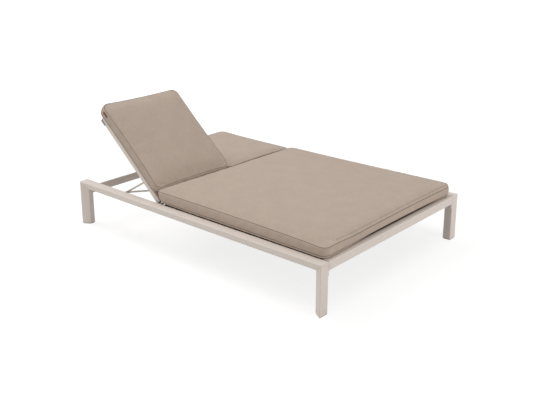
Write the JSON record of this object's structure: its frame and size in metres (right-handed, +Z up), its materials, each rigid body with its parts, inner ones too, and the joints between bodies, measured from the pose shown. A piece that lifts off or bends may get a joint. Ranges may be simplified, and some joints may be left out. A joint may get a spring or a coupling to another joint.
{
  "type": "double chaise lounger",
  "caption": "Wide low outdoor daybed on a mitred metal frame, with a boxed seat cushion and two separately raised backs held by notched props.",
  "frame": {"origin": "centre of the footprint, on the floor", "axes": "+X towards the foot end, +Y towards the left hand of a person lying on it, +Z up"},
  "size_m": [2, 1.4176, 0.8307],
  "materials": {
    "painted_frame": "satin powder coat",
    "dark_frame": "matte powder coat",
    "bare_aluminium": "satin",
    "steel": "brushed",
    "dark_plastic": "matte",
    "grey_plastic": "matte",
    "cushion_fabric": "woven",
    "leather": "smooth"
  },
  "bodies": {
    "frame": {"side_rail_right": "painted_frame", "side_rail_left": "painted_frame", "leg_foot_right": "painted_frame", "leg_foot_left": "painted_frame", "leg_head_right": "painted_frame", "leg_head_left": "painted_frame", "foot_rail": "painted_frame", "head_rail": "painted_frame", "corner_plates": "painted_frame", "corner_bolts": "steel", "foot_glides": "dark_plastic", "hinge_beam": "painted_frame", "centre_beam_seat": "painted_frame", "centre_beam_head": "painted_frame", "cross_beam_right": "painted_frame", "cross_beam_left": "painted_frame", "slat_ledge_right": "painted_frame", "slat_ledge_left": "painted_frame", "seat_slats": "dark_frame", "slat_screws": "steel", "hinge_clevises": "painted_frame", "hinge_bolts": "steel", "hinge_nuts": "steel", "rack_outer_right": "dark_plastic", "rack_centre_right": "dark_plastic", "rack_centre_left": "dark_plastic", "rack_outer_left": "dark_plastic", "rack_screws": "steel", "seat_cushion": "cushion_fabric"},
    "back_right": {"side_bar_outer_right": "painted_frame", "side_bar_inner_right": "painted_frame", "hinge_inserts_right": "bare_aluminium", "bar_caps_right": "grey_plastic", "lower_tube_right": "painted_frame", "upper_tube_right": "painted_frame", "back_slats_right": "dark_frame", "prop_pins_right": "steel"},
    "prop_right": {"prop_leg_outer_right": "painted_frame", "prop_leg_inner_right": "painted_frame", "grab_bar_right": "painted_frame"},
    "cushion_right": {"back_cushion_right": "cushion_fabric", "cushion_tag": "leather"},
    "back_left": {"side_bar_outer_left": "painted_frame", "side_bar_inner_left": "painted_frame", "hinge_inserts_left": "bare_aluminium", "bar_caps_left": "grey_plastic", "lower_tube_left": "painted_frame", "upper_tube_left": "painted_frame", "back_slats_left": "dark_frame", "prop_pins_left": "steel"},
    "prop_left": {"prop_leg_outer_left": "painted_frame", "prop_leg_inner_left": "painted_frame", "grab_bar_left": "painted_frame"},
    "cushion_left": {"back_cushion_left": "cushion_fabric"}
  },
  "joints": [
    {"name": "back_hinge_right", "type": "hinge", "parent": "frame", "child": "back_right", "pos_m": [-0.3, -0.32, 0.278], "axis": [0, 1, 0], "range_deg": [-41, 7]},
    {"name": "prop_pivot_right", "type": "hinge", "parent": "back_right", "child": "prop_right", "pos_m": [-0.44638, -0.32, 0.39465], "axis": [0, 1, 0], "range_deg": [-12.1, 70.7]},
    {"name": "cushion_slide_right", "type": "slide", "parent": "back_right", "child": "cushion_right", "axis": [-0.7547, 0, 0.6561], "range_m": [-0.0516, 0.0089]},
    {"name": "back_hinge_left", "type": "hinge", "parent": "frame", "child": "back_left", "pos_m": [-0.3, 0.32, 0.278], "axis": [0, 1, 0], "range_deg": [0, 48]},
    {"name": "prop_pivot_left", "type": "hinge", "parent": "back_left", "child": "prop_left", "pos_m": [-0.487, 0.32, 0.27], "axis": [0, 1, 0], "range_deg": [-82.7, 0]},
    {"name": "cushion_slide_left", "type": "slide", "parent": "back_left", "child": "cushion_left", "axis": [-1, 0, 0], "range_m": [0, 0.0604]}
  ],
  "couplings": [
    {"joint": "prop_pivot_right", "follows": "back_hinge_right", "ratio": -1.7211},
    {"joint": "cushion_slide_right", "follows": "back_hinge_right", "m_per_rad": 0.072},
    {"joint": "prop_pivot_left", "follows": "back_hinge_left", "ratio": -1.7211},
    {"joint": "cushion_slide_left", "follows": "back_hinge_left", "m_per_rad": 0.072}
  ]
}
